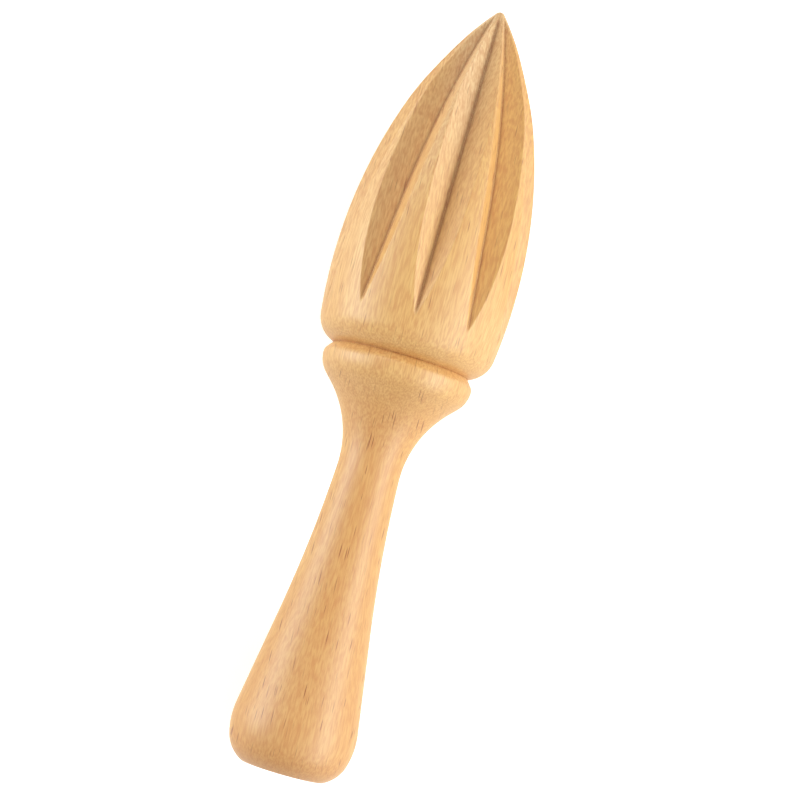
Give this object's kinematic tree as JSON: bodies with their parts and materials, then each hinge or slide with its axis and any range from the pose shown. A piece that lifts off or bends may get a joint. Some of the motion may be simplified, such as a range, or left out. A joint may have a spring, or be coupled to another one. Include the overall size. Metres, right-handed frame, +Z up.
{
  "type": "citrus reamer",
  "caption": "Hand-held wooden citrus reamer: pointed fluted head, grooved collar, slender neck and flared, round-ended handle.",
  "frame": {"origin": "on the table, under the middle of the lying reamer", "axes": "+X towards the tip of the head, +Z up, away from the table it lies on; the reamer's own axis leans 3.9 degrees up towards the tip"},
  "size_m": [0.1702, 0.0404, 0.0405],
  "materials": {
    "beech": "fine sanded, light oil, satin"
  },
  "bodies": {
    "root": {"reamer": "beech"}
  },
  "joints": []
}
